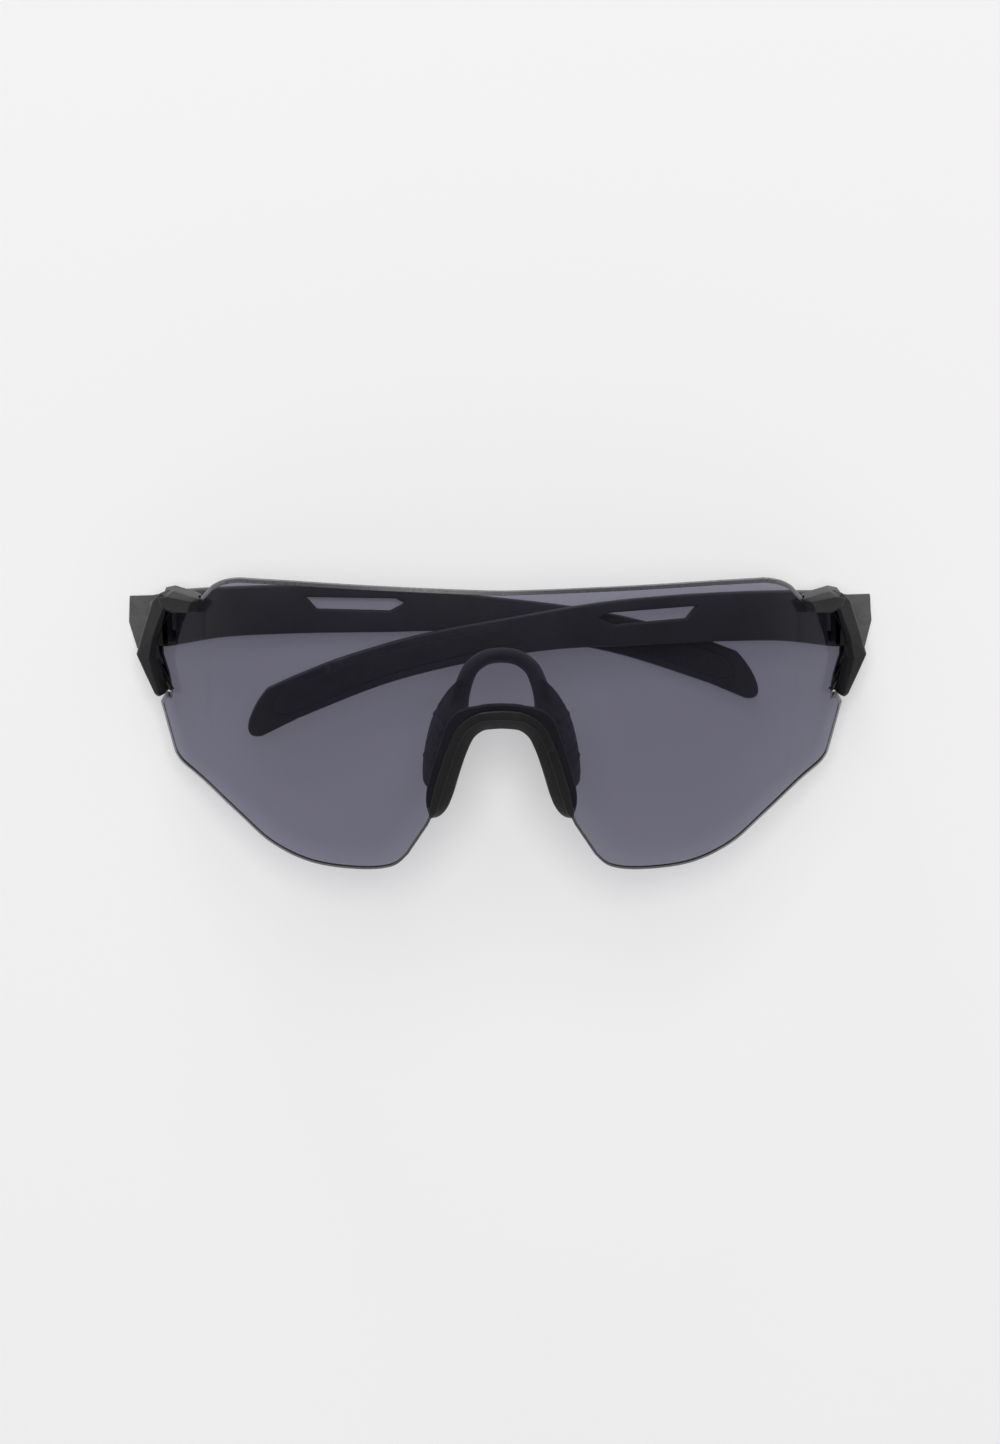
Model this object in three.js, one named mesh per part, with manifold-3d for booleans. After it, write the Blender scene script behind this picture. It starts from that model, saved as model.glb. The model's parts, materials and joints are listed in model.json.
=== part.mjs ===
// Rimless wraparound sport sunglasses, lying face up on their folded temples.
// Millimetres. +X is the wearer's left, +Y is towards the brow edge of the lens, +Z is up,
// away from the surface that they lie on. The origin is under the middle of the whole object.
import * as THREE from 'three';
import { mergeVertices } from 'three/addons/utils/BufferGeometryUtils.js';
import { TessellateModifier } from 'three/addons/modifiers/TessellateModifier.js';
import Module from 'manifold-3d';

const wasm = await Module();
wasm.setup();

// ---- driving dimensions ------------------------------------------------------------------

const DEGREE = Math.PI / 180;
const GAP = 0.3;                     // clearance between pieces that sit against each other
const GRID = 8;                      // longest edge on a curved surface
const BEYOND = 150;                  // far past every piece

const LENS_RADIUS_ACROSS = 85;       // curve of the shield from temple to temple
const LENS_RADIUS_DOWN = 150;        // curve from brow to cheek
const LENS_THICKNESS = 2.2;
const FRONT_TILT = 7 * DEGREE;       // the brow edge stands forward of the cheeks
const FRONT_Y = 3.6;
const FRONT_Z = 48.4;                // front of the lens above the surface

const HINGE_X = 68;                  // hinge axis from the middle
const HINGE_Y = 20.4;
const HINGE_Z = 4.8;                 // and above the surface that the elbows rest on
const HINGE_SKEW = 1.6 * DEGREE;     // play in the hinges turns both folded temples this much
const LEAN_RIGHT = 1 * DEGREE;       // the right temple lies underneath, its tip dipping
const LEAN_LEFT = 5.6 * DEGREE;      // the left temple lies on top, its tip rising

const LUG_RADIUS = 2.6;              // round end of the two ears
const LUG_HALF_HEIGHT = 4.4;
const LUG_OUTER = 2.1;               // the lug's outer side, from the axis
const LUG_SHOULDER = 8;              // top of that side, inside the end piece
const KNUCKLE_RADIUS = 2.5;          // the temple's barrel between the ears
const KNUCKLE_HALF_HEIGHT = 2.0;
const KNUCKLE_ROOT = 0.05;           // how far the knuckle's flats sink into the temple
const SWEEP_RADIUS = 2.9;            // room for a round hinge part to turn in
const PIN_RADIUS = 0.75;
const HEAD_RADIUS = 1.35;
const HEAD_HEIGHT = 0.9;
const SLOT_WIDTH = 0.4;              // of the screwdriver slot
const SLOT_DEPTH = 0.4;
const NUT_HEIGHT = 1.3;

const TEMPLE_LENGTH = 122;
const TEMPLE_BOW = 1;                // how far the tip bends in towards the head
const TEMPLE_INNER = 0.4;            // inner face, outside the hinge axis
const TEMPLE_OUTER_FRONT = 5.2;      // outer face at the hinge, before its flats are cut
const TEMPLE_OUTER_REAR = 3.8;       // outer face along the arm
const ELBOW_INNER = 2.4;             // inner face of the plate that covers the hinge
const ELBOW_LENGTH = 8;              // the plate reaches less than this past the axis

const GRIP_THICKNESS = 1;
const GRIP_RECESS = 0.8;             // how deep the grip sits in the temple

const NOSE_LIP = 1.0;                // overlap of the bridge on the lens
const NOSE_WIDTH = 2.7;              // from the cut-out to the opening of the bridge
const NOSE_FRONT = 1.3;              // how far the bridge stands proud of the lens
const NOSE_REAR = 4.2;               // and how far back its rear flange reaches
const NOSE_STEP = 0.2;               // the lip and the flange sit this much lower than the rim
const NOSE_FLANGE_TOP = 1.7;         // overlap of the rear flange on the lens above the nose
const NOSE_FLANGE_LEGS = 2.8;        // and beside it
const PAD_ARCH_RADIUS = 1.55;        // the soft arch
const PAD_THICKNESS = 1.8;           // the soft wings

const CLIP_FRONT = 2.2;              // end piece in front of the lens
const CLIP_REAR = 3.9;               // and behind its outer face
const ARM_FRONT = 3.0;
const CLIP_CHAMFER = 0.8;

// ---- solids ------------------------------------------------------------------------------

function toSolid(geometry) {
  const bare = geometry.clone();
  bare.deleteAttribute('normal');
  bare.deleteAttribute('uv');
  const merged = mergeVertices(bare, 1e-4);
  const triVerts = Uint32Array.from(merged.index.array);
  const vertProperties = Float32Array.from(merged.attributes.position.array);
  return new wasm.Manifold(new wasm.Mesh({ numProp: 3, vertProperties, triVerts }));
}

function toGeometry(solid) {
  const mesh = solid.getMesh();
  const geometry = new THREE.BufferGeometry();
  geometry.setAttribute('position', new THREE.BufferAttribute(mesh.vertProperties, 3));
  geometry.setIndex(new THREE.BufferAttribute(mesh.triVerts, 1));
  geometry.computeVertexNormals();
  return geometry;
}

function join(first, ...others) {
  return toGeometry(others.reduce((all, next) => all.add(toSolid(next)), toSolid(first)));
}

function cut(first, ...others) {
  return toGeometry(others.reduce((all, next) => all.subtract(toSolid(next)), toSolid(first)));
}

// The same geometry on the other side of X = 0, with its faces still pointing out.
function mirrored(geometry) {
  const copy = mergeVertices(geometry.clone().scale(-1, 1, 1));
  const index = copy.index.array;
  for (let i = 0; i < index.length; i += 3) {
    [index[i], index[i + 1]] = [index[i + 1], index[i]];
  }
  copy.computeVertexNormals();
  return copy;
}

function forSide(geometry, side) {
  return side < 0 ? geometry : mirrored(geometry);
}

function cylinderAlongY(radius, fromY, toY) {
  const cylinder = new THREE.CylinderGeometry(radius, radius, toY - fromY, 24);
  return cylinder.translate(0, (fromY + toY) / 2, 0);
}

function box(minimum, maximum) {
  const size = maximum.map((value, i) => value - minimum[i]);
  const centre = maximum.map((value, i) => (value + minimum[i]) / 2);
  return new THREE.BoxGeometry(...size).translate(...centre);
}

function movePoints(geometry, move) {
  const position = geometry.attributes.position;
  const point = new THREE.Vector3();
  for (let i = 0; i < position.count; i++) {
    point.fromBufferAttribute(position, i);
    move(point);
    position.setXYZ(i, point.x, point.y, point.z);
  }
  return geometry;
}

// An outline extruded from z = low to z = high, cut into small triangles. Its edges are
// chamfered, or its sides swell outwards by grow.
function fineExtrusion(shape, low, high, chamfer = 0, grow = 0) {
  const bevel = chamfer + grow;
  const extrusion = new THREE.ExtrudeGeometry(shape, {
    depth: high - low - 2 * bevel,
    bevelEnabled: bevel > 0,
    bevelThickness: bevel,
    bevelSize: bevel,
    bevelOffset: -chamfer,
    bevelSegments: 1,
    curveSegments: 6,
  });
  extrusion.translate(0, 0, low + bevel);
  return new TessellateModifier(GRID, 20).modify(extrusion);
}

// ---- the lens surface, in the front's own frame: z forward, its foremost point at z = 0 ----

function lensDepth(x, y) {
  const across = LENS_RADIUS_ACROSS - Math.sqrt(LENS_RADIUS_ACROSS ** 2 - x * x);
  const down = LENS_RADIUS_DOWN - Math.sqrt(LENS_RADIUS_DOWN ** 2 - y * y);
  return across + down;
}

function lensNormal(x, y) {
  const slopeX = x / Math.sqrt(LENS_RADIUS_ACROSS ** 2 - x * x);
  const slopeY = y / Math.sqrt(LENS_RADIUS_DOWN ** 2 - y * y);
  return new THREE.Vector3(slopeX, slopeY, 1).normalize();
}

// Lays a flat extrusion on the lens: x and y stay, and z becomes height above its outer face.
function wrapOnLens(geometry) {
  return movePoints(geometry, (point) => {
    const normal = lensNormal(point.x, point.y);
    const height = point.z;
    point.set(point.x, point.y, -lensDepth(point.x, point.y));
    point.addScaledVector(normal, height);
  });
}

function wrapped(shape, low, high, chamfer = 0, grow = 0) {
  return wrapOnLens(fineExtrusion(shape, low, high, chamfer, grow));
}

function smooth(from, to, value) {
  return THREE.MathUtils.smoothstep(value, from, to);
}

// ---- outlines ----------------------------------------------------------------------------

function points(...pairs) {
  return pairs.map(([x, y]) => new THREE.Vector2(x, y));
}

// A half outline at x >= 0, from the top of the middle line to its foot, closed by its mirror.
function symmetricShape(half) {
  const right = half.filter((point) => point.x > 1e-3);
  const left = right.map((point) => new THREE.Vector2(-point.x, point.y)).reverse();
  const onMiddle = half.filter((point) => point.x <= 1e-3);
  const top = onMiddle[0];
  const foot = onMiddle[onMiddle.length - 1];
  return new THREE.Shape([top, ...right, foot, ...left]);
}

// The edge of the lens round the nose, from the middle down the wearer's left side, moved
// outwards into the lens, by one distance on top and another along the legs.
function noseCurve(offsetOnTop, offsetOnLegs = offsetOnTop, steps = 14) {
  const edge = new THREE.SplineCurve(points(
    [0, 1.3], [4.2, 0.8], [7.2, -1.3], [8.9, -4.4], [10.6, -9.2], [12.1, -14.4], [13.1, -18.6],
  ));
  const result = [];
  for (let i = 0; i <= steps; i++) {
    const place = edge.getPointAt(i / steps);
    const along = edge.getTangentAt(i / steps);
    const offset = THREE.MathUtils.lerp(offsetOnTop, offsetOnLegs, smooth(0.2, 0.5, i / steps));
    const x = i === 0 ? 0 : place.x - along.y * offset;
    const y = i === 0 ? place.y + offset : place.y + along.x * offset;
    result.push(new THREE.Vector2(x, y));
  }
  return result;
}

// A band round the nose, from a distance inside the edge of the lens to one outside it.
function noseBand(inner, outerOnTop, outerOnLegs = outerOnTop) {
  return symmetricShape([...noseCurve(outerOnTop, outerOnLegs), ...noseCurve(-inner).reverse()]);
}

function lensShape() {
  const half = new THREE.Path();
  half.moveTo(0, 24.9);
  half.splineThru(points([19.2, 25.2], [38.7, 25.05], [51, 24.4]));
  half.quadraticCurveTo(54.8, 23.9, 57.2, 21.85);
  half.lineTo(59.3, 19.3);
  // from here the edge is inside the end piece
  half.lineTo(61.2, 18.2);
  half.lineTo(65.6, 17);
  half.lineTo(68.5, 11.6);
  half.lineTo(69.8, 6.4);
  half.lineTo(66, 0.2);
  half.lineTo(66, -1.25);
  // and here it shows again below the end piece
  half.lineTo(67.05, -1.25);
  half.lineTo(68.1, -3.2);
  half.lineTo(65.3, -12.5);
  half.quadraticCurveTo(64.7, -14.1, 62.9, -15.1);
  half.splineThru(points([58.8, -17.6], [51.6, -23.1], [45.2, -27.9], [37.2, -30.8], [27.6, -31.2],
    [21.3, -30.1], [18.2, -27.4]));
  half.lineTo(14.2, -21);
  const edge = half.getPoints(4);
  return symmetricShape([...edge, ...noseCurve(0).reverse()]);
}

// The upright band of the end piece, bent outwards at the height of the wearer's pupils.
function chevronShape() {
  return new THREE.Shape(points(
    [-65.2, 17.4], [-67.1, 9.4], [-67.0, 5.6], [-65.4, 0.1], [-66.3, -0.75], [-67.1, -0.6],
    [-71.0, 6.4], [-69.7, 11.7], [-67.9, 17.9], [-66.9, 19.3], [-65.2, 19.9],
  ));
}

// The short arm of the end piece along the top of the lens.
function armShape() {
  return new THREE.Shape(points(
    [-57.7, 20.5], [-57.3, 19.1], [-58.4, 17.1], [-59.9, 16.3], [-64.6, 15.4], [-67.4, 16.9],
    [-66.8, 19.3], [-65.0, 20.7],
  ));
}

// The temple seen from the wearer's side: x runs from the hinge axis to the tip, y is up.
function templeShape() {
  const shape = new THREE.Shape();
  shape.moveTo(-6.5, 4.9);
  shape.lineTo(-6.8, -0.4);
  shape.lineTo(-5.4, -5.8);
  shape.lineTo(0.7, -5.4);
  shape.lineTo(7.7, -4.3);
  shape.splineThru(points([14, -3.7], [28, -3.5], [44, -3.75], [58, -4.0], [74.3, -5.9],
    [91.7, -9.6], [109.6, -15.9]));
  shape.lineTo(116.9, -19.2);
  shape.quadraticCurveTo(120.4, -19.7, 119.3, -16);
  shape.quadraticCurveTo(118, -12.4, 115.4, -9.7);
  shape.splineThru(points([109, -7.1], [99.4, -3.8], [84, 0], [64, 3.0], [48, 5.1], [34, 6.0],
    [22, 6.3], [10, 6.2]));
  shape.lineTo(4.6, 6.0);
  shape.lineTo(-2.5, 4.9);
  shape.closePath();
  shape.holes.push(new THREE.Path(points([29.2, 3.4], [31, 1.5], [45.3, 0.8], [48.2, 1.9],
    [46.6, 2.7])));
  return shape;
}

// The soft grip near the tip, inset from the temple's edges by a margin.
function gripShape(margin) {
  const shape = new THREE.Shape();
  shape.moveTo(64 + margin, -2.3);
  shape.splineThru(points([74.3, -4.0 + margin], [91.7, -7.9 + margin], [111.6, -15.1 + margin]));
  shape.lineTo(114.6 - margin, -14.6 + margin);
  shape.quadraticCurveTo(115.1 - margin, -12.5, 112.6 - margin, -10.3 - margin);
  shape.splineThru(points([99.4, -5.6 - margin], [84, -1.8 - margin], [68 + margin, 0.6 - margin]));
  shape.closePath();
  return shape;
}

// ---- temple surface ----------------------------------------------------------------------

function templeBow(along) {
  return TEMPLE_BOW * (Math.max(along, 0) / TEMPLE_LENGTH) ** 2;
}

// A flat extrusion from z = 0 at the outer face to z = 1 at the inner face takes the temple's
// thickness and bow. The hinge axis is the Y axis, and z is towards the wearer's head.
function bendAsTemple(geometry) {
  return movePoints(geometry, (point) => {
    const outer = THREE.MathUtils.lerp(TEMPLE_OUTER_FRONT, TEMPLE_OUTER_REAR, smooth(8, 28, point.x));
    point.z = templeBow(point.x) - THREE.MathUtils.lerp(outer, TEMPLE_INNER, point.z);
  });
}

// ---- hinge, in a frame on its axis: x towards the tip of the folded temple, z up ----------

// The block behind the end piece that ends in the two ears.
function hingeLug() {
  const profile = new THREE.Shape();
  profile.moveTo(-LUG_OUTER, LUG_SHOULDER);
  profile.absarc(0, 0, LUG_RADIUS, Math.PI + Math.acos(LUG_OUTER / LUG_RADIUS), 2 * Math.PI, false);
  profile.lineTo(3.6, 7);
  profile.lineTo(4.2, 12);
  profile.lineTo(-1.4, 12.5);
  const lug = new THREE.ExtrudeGeometry(profile, {
    depth: 2 * LUG_HALF_HEIGHT, bevelEnabled: false, curveSegments: 12,
  });
  lug.translate(0, 0, -LUG_HALF_HEIGHT);
  lug.rotateX(Math.PI / 2);
  const knuckleRoom = KNUCKLE_HALF_HEIGHT + GAP;
  return cut(lug, cylinderAlongY(SWEEP_RADIUS, -knuckleRoom, knuckleRoom));
}

// The hole for the screw, with a recess for its head above and for the nut below.
function screwRoom() {
  const beyond = LUG_HALF_HEIGHT + 1;
  const clearance = GAP / 2;
  return join(
    cylinderAlongY(PIN_RADIUS + clearance, -beyond, beyond),
    cylinderAlongY(HEAD_RADIUS + clearance, LUG_HALF_HEIGHT - HEAD_HEIGHT - clearance, beyond),
    cylinderAlongY(HEAD_RADIUS + clearance, -beyond, -LUG_HALF_HEIGHT + NUT_HEIGHT + clearance),
  );
}

function hingeScrew() {
  const slot = box(
    [-BEYOND, LUG_HALF_HEIGHT - SLOT_DEPTH, -SLOT_WIDTH / 2],
    [BEYOND, BEYOND, SLOT_WIDTH / 2],
  );
  const screw = join(
    cylinderAlongY(PIN_RADIUS, -LUG_HALF_HEIGHT + GAP, LUG_HALF_HEIGHT - HEAD_HEIGHT / 2),
    cylinderAlongY(HEAD_RADIUS, LUG_HALF_HEIGHT - HEAD_HEIGHT, LUG_HALF_HEIGHT),
  );
  return cut(screw, slot);
}

function hingeNut() {
  const foot = -LUG_HALF_HEIGHT;
  return cut(
    cylinderAlongY(HEAD_RADIUS, foot, foot + NUT_HEIGHT),
    cylinderAlongY(PIN_RADIUS + GAP / 2, foot - 1, foot + NUT_HEIGHT + 1),
  );
}

// ---- the pieces --------------------------------------------------------------------------

function shieldLens() {
  return wrapped(lensShape(), -LENS_THICKNESS, 0);
}

// The room that an end piece leaves round the edge of the lens.
function lensRoom() {
  return wrapped(lensShape(), -LENS_THICKNESS - GAP, GAP, 0, GAP);
}

function endPiece(hingeInFront) {
  const band = wrapped(chevronShape(), -CLIP_REAR, CLIP_FRONT, CLIP_CHAMFER);
  const arm = wrapped(armShape(), -CLIP_REAR, ARM_FRONT, CLIP_CHAMFER);
  const lug = hingeLug().applyMatrix4(hingeInFront);
  const screw = screwRoom().applyMatrix4(hingeInFront);
  return cut(join(band, arm, lug), lensRoom(), screw);
}

// Everything below the surface that the folded glasses lie on, seen from a temple that leans
// by an angle: cutting it away leaves the flat that the temple rests on.
function belowSurface(lean) {
  return box([-BEYOND, -BEYOND, -BEYOND], [BEYOND, BEYOND, -HINGE_Z]).rotateY(-lean);
}

function temple() {
  const arm = bendAsTemple(fineExtrusion(templeShape(), 0, 1));
  const behindLug = box([-ELBOW_LENGTH, -ELBOW_LENGTH, -ELBOW_INNER], [0, ELBOW_LENGTH, 2]);
  const gripRoom = bendAsGrip(fineExtrusion(gripShape(-GAP), -GRIP_RECESS - GAP, 1));
  const earRoom = KNUCKLE_HALF_HEIGHT - KNUCKLE_ROOT;
  const blade = cut(
    arm,
    behindLug,
    belowSurface(LEAN_RIGHT),
    belowSurface(-LEAN_LEFT),
    gripRoom,
    cylinderAlongY(SWEEP_RADIUS, earRoom, ELBOW_LENGTH),
    cylinderAlongY(SWEEP_RADIUS, -ELBOW_LENGTH, -earRoom),
  );
  const knuckle = cylinderAlongY(KNUCKLE_RADIUS, -KNUCKLE_HALF_HEIGHT, KNUCKLE_HALF_HEIGHT);
  const screw = cylinderAlongY(PIN_RADIUS + GAP / 2, -ELBOW_LENGTH, ELBOW_LENGTH);
  return cut(join(blade, knuckle), screw);
}

// A flat extrusion whose z is the height above the temple's inner face, bent with the temple.
function bendAsGrip(geometry) {
  return movePoints(geometry, (point) => {
    point.z += templeBow(point.x) - TEMPLE_INNER;
  });
}

function templeGrip() {
  return bendAsGrip(fineExtrusion(gripShape(0), -GRIP_RECESS, GRIP_THICKNESS - GRIP_RECESS));
}

function noseBridge() {
  const rooted = NOSE_WIDTH / 2;
  const lip = wrapped(noseBand(rooted, NOSE_LIP), GAP, NOSE_FRONT - NOSE_STEP);
  const web = wrapped(noseBand(NOSE_WIDTH, -GAP), -NOSE_REAR, NOSE_FRONT);
  const flange = wrapped(
    noseBand(rooted, NOSE_FLANGE_TOP, NOSE_FLANGE_LEGS),
    -NOSE_REAR + NOSE_STEP,
    -LENS_THICKNESS - GAP,
  );
  return join(web, lip, flange);
}

function nosePadArch() {
  const top = new THREE.Vector3(0, 10.9, -11);
  const half = [
    [3.1, 10.4, -10.9], [5.9, 8.5, -10.3], [7.6, 5.6, -9.4], [8.6, 2.8, -8.4], [9.2, 0.2, -7.6],
  ];
  const right = half.map(([x, y, z]) => new THREE.Vector3(x, y, z));
  const left = half.map(([x, y, z]) => new THREE.Vector3(-x, y, z)).reverse();
  const path = new THREE.CatmullRomCurve3([...left, top, ...right]);
  const section = new THREE.Shape();
  section.absarc(0, 0, PAD_ARCH_RADIUS, 0, 2 * Math.PI, false);
  return new THREE.ExtrudeGeometry(section, { steps: 32, extrudePath: path, curveSegments: 6 });
}

// One soft wing, on the wearer's left. Its outline is drawn with x down the nose and y
// backwards, and then it is splayed, so that it runs outwards as it goes down and back.
function nosePadWing() {
  const outline = new THREE.Shape();
  outline.moveTo(-0.6, 0);
  outline.lineTo(16.2, 0);
  outline.quadraticCurveTo(18, 1.4, 16.6, 4);
  outline.quadraticCurveTo(12, 8.6, 5, 7);
  outline.quadraticCurveTo(0.5, 5.4, -0.6, 0);
  const wing = new THREE.ExtrudeGeometry(outline, {
    depth: PAD_THICKNESS, bevelEnabled: false, curveSegments: 8,
  });
  const down = new THREE.Vector3(0.237, -0.971, 0).normalize();
  const back = new THREE.Vector3(0.38, 0.09, -0.92).normalize();
  const out = new THREE.Vector3().crossVectors(down, back).normalize();
  back.crossVectors(out, down);
  const place = new THREE.Matrix4().makeBasis(down, back, out).setPosition(8.8, 1.6, -6.5);
  return wing.translate(0, 0, -PAD_THICKNESS / 2).applyMatrix4(place);
}

function nosePad() {
  const wing = nosePadWing();
  return join(nosePadArch(), wing, mirrored(wing));
}

// ---- materials ---------------------------------------------------------------------------

function material(color, roughness, metalness = 0, opacity = 1) {
  return new THREE.MeshStandardMaterial({
    color, roughness, metalness, opacity, transparent: opacity < 1,
  });
}

const smokeLens = material(0x55545f, 0.08, 0, 0.6);
const mattBlack = material(0x2b2b2b, 0.6);
const softBlack = material(0x1f1f20, 0.85);
const steel = material(0x8f8f92, 0.35, 1);
const brass = material(0xb59a5c, 0.4, 1);

// ---- assembly ----------------------------------------------------------------------------

function named(name, geometry, look) {
  const mesh = new THREE.Mesh(geometry, look);
  mesh.name = name;
  return mesh;
}

// side is -1 for the wearer's right and 1 for the left. The pieces of a hinge are drawn for the
// right side, whose folded temple points along +X.
function hingeGroup(side, lean) {
  const word = side < 0 ? 'right' : 'left';
  const hinge = new THREE.Group();
  hinge.name = `hinge_${word}`;
  hinge.position.set(side * HINGE_X, HINGE_Y, HINGE_Z);
  hinge.rotation.z = HINGE_SKEW;
  hinge.add(named(`hinge_screw_${word}`, forSide(hingeScrew(), side), steel));
  hinge.add(named(`hinge_nut_${word}`, forSide(hingeNut(), side), brass));
  const folded = new THREE.Group();
  folded.rotation.y = lean;
  folded.add(named(`temple_${word}`, forSide(temple(), side), mattBlack));
  folded.add(named(`temple_grip_${word}`, forSide(templeGrip(), side), softBlack));
  hinge.add(folded);
  hinge.updateMatrix();
  return hinge;
}

function build() {
  const glasses = new THREE.Group();
  const front = new THREE.Group();
  front.rotation.x = FRONT_TILT;
  front.position.set(0, FRONT_Y, FRONT_Z);
  front.updateMatrix();
  front.add(named('shield_lens', shieldLens(), smokeLens));
  front.add(named('nose_bridge', noseBridge(), mattBlack));
  front.add(named('nose_pad', nosePad(), softBlack));
  glasses.add(front);
  for (const [side, lean] of [[-1, LEAN_RIGHT], [1, LEAN_LEFT]]) {
    const hinge = hingeGroup(side, lean);
    glasses.add(hinge);
    const flip = new THREE.Matrix4().makeScale(-side, 1, 1);
    const hingeInFront = front.matrix.clone().invert().multiply(hinge.matrix);
    const drawnOnRight = flip.clone().multiply(hingeInFront).multiply(flip);
    const word = side < 0 ? 'right' : 'left';
    front.add(named(`end_piece_${word}`, forSide(endPiece(drawnOnRight), side), mattBlack));
  }
  glasses.updateMatrixWorld(true);
  const extent = new THREE.Box3().setFromObject(glasses, true);
  const centre = extent.getCenter(new THREE.Vector3());
  glasses.position.set(-centre.x, -centre.y, -extent.min.z);
  glasses.updateMatrixWorld(true);
  return glasses;
}

export default build();
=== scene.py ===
import json
import math

import bmesh
import bpy
import numpy as np
from mathutils import Matrix, Vector
from mathutils.geometry import delaunay_2d_cdt


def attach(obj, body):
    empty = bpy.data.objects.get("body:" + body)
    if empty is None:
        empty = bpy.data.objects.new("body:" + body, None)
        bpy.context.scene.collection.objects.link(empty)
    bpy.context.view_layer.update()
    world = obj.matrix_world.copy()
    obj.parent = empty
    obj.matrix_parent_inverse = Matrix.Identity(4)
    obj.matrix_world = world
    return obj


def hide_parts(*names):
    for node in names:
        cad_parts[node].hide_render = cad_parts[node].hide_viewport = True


# Rimless wraparound sport sunglasses, lying face up on their folded temples.
# Lengths are millimetres in the pieces' own frames, and metres once placed in the row frame.

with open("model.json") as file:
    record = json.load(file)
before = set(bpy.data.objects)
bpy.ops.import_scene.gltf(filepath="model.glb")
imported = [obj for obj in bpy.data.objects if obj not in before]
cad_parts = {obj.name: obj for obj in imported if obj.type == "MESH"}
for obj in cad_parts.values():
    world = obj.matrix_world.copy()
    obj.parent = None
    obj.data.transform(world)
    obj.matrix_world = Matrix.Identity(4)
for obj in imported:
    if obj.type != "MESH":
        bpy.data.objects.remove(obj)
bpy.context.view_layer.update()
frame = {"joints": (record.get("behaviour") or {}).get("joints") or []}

# ---- driving dimensions --------------------------------------------------------------------

MM = 0.001
GAP = 0.3                       # clearance between pieces that sit against each other

LENS_RADIUS_ACROSS = 85
LENS_RADIUS_DOWN = 150
LENS_THICKNESS = 2.2
FRONT_TILT = math.radians(7)    # the brow edge stands forward of the cheeks
FRONT_Y = 3.6
FRONT_Z = 48.4

HINGE_Y = 20.4
HINGE_Z = 4.8
HINGE_SKEW = math.radians(1.6)
LEAN = {-1: math.radians(1), 1: math.radians(5.6)}
LUG_RADIUS = 1.95               # round end of the end piece's two ears
LUG_ROOM = 2.25                 # what the temple leaves free round them
LUG_OUTER = 2.1
LUG_HALF_HEIGHT = 4.4
KNUCKLE_RADIUS = 2.5
KNUCKLE_HALF_HEIGHT = 2.0
SWEEP_RADIUS = 2.9
PIN_RADIUS = 0.75
HEAD_RADIUS = 1.35
HEAD_HEIGHT = 0.9
NUT_HEIGHT = 1.3

TEMPLE_LENGTH = 122
TEMPLE_BOW = 1
TEMPLE_INNER = 0.4
TEMPLE_OUTER_FRONT = 5.2
TEMPLE_OUTER_REAR = 3.8
ELBOW_INNER = 2.4
ELBOW_LENGTH = 8
GRIP_RECESS = 0.8
GRIP_PROUD = 0.2

PAD_THICKNESS = 1.8

OUTLINE_STEP = 1.2              # longest side of an outline
TAPER_START = 8                 # where the temple thins behind its elbow, from the hinge axis
TAPER_END = 28
RING_PITCH = 2.7                # between the small rings on a grip
RING_ROW = 2.3                  # and between their rows
RING_SIDES = 20
ROD_SIDES = 40
TUBE_SIDES = 28
BRACKET_VOXEL = 0.14            # grain of the skin that fuses a piece's solids
NOSE_VOXEL = 0.2

VIEW_TILT = math.radians(5)     # the camera leans this much towards the brow
VIEW_DISTANCE = 0.837           # metres, from the lens's foremost point
VIEW_LEFT = 0.00029             # metres, towards the wearer's right
FOCAL_LENGTH = 108.67
FLOOR_REACH = 6                 # metres
SKY_TOP = 0.2                   # brightness straight up
SKY_HORIZON = 0.85
SKY_FALL = 4                    # how fast it drops from the horizon upwards

SIDES = {-1: "right", 1: "left"}    # the wearer's, at -X and +X

# The midpoint of the two hinge axes ties the CAD's design frame to the row frame.
hinge_points = [Vector(joint["pos_m"]) for joint in frame["joints"]]
ROW_ORIGIN = (hinge_points[0] + hinge_points[1]) / 2 - Vector((0, HINGE_Y, HINGE_Z)) * MM
HINGE_X = abs(hinge_points[0].x - hinge_points[1].x) / 2 / MM
FRONT = (
    Matrix.Translation(ROW_ORIGIN + Vector((0, FRONT_Y, FRONT_Z)) * MM)
    @ Matrix.Rotation(FRONT_TILT, 4, "X")
    @ Matrix.Scale(MM, 4)
)


# ---- curves and outlines -------------------------------------------------------------------

def spline(knots, steps=8):
    """Points of a smooth curve through the knots."""
    knots = [np.array(knot, float) for knot in knots]
    result = []
    for i in range(len(knots) - 1):
        before = knots[max(i - 1, 0)]
        start, end = knots[i], knots[i + 1]
        after = knots[min(i + 2, len(knots) - 1)]
        v0, v1 = (end - before) / 2, (after - start) / 2
        for k in range(steps):
            t = k / steps
            result.append(
                start + v0 * t + (3 * (end - start) - 2 * v0 - v1) * t**2
                + (2 * (start - end) + v0 + v1) * t**3
            )
    result.append(knots[-1])
    return result


def curve(start, control, end, steps=8):
    """Points of a quadratic curve."""
    a, b, c = (np.array(p, float) for p in (start, control, end))
    return [a * (1 - t)**2 + 2 * b * t * (1 - t) + c * t**2 for t in np.linspace(0, 1, steps + 1)]


def tidy_loop(loop, longest):
    """Drops doubled points and divides long sides."""
    loop = [np.array(p, float) for p in loop]
    kept = [p for i, p in enumerate(loop) if np.linalg.norm(p - loop[i - 1]) > 1e-4]
    result = []
    for i, start in enumerate(kept):
        end = kept[(i + 1) % len(kept)]
        parts = max(1, math.ceil(np.linalg.norm(end - start) / longest))
        result += [start + (end - start) * k / parts for k in range(parts)]
    return result


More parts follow.
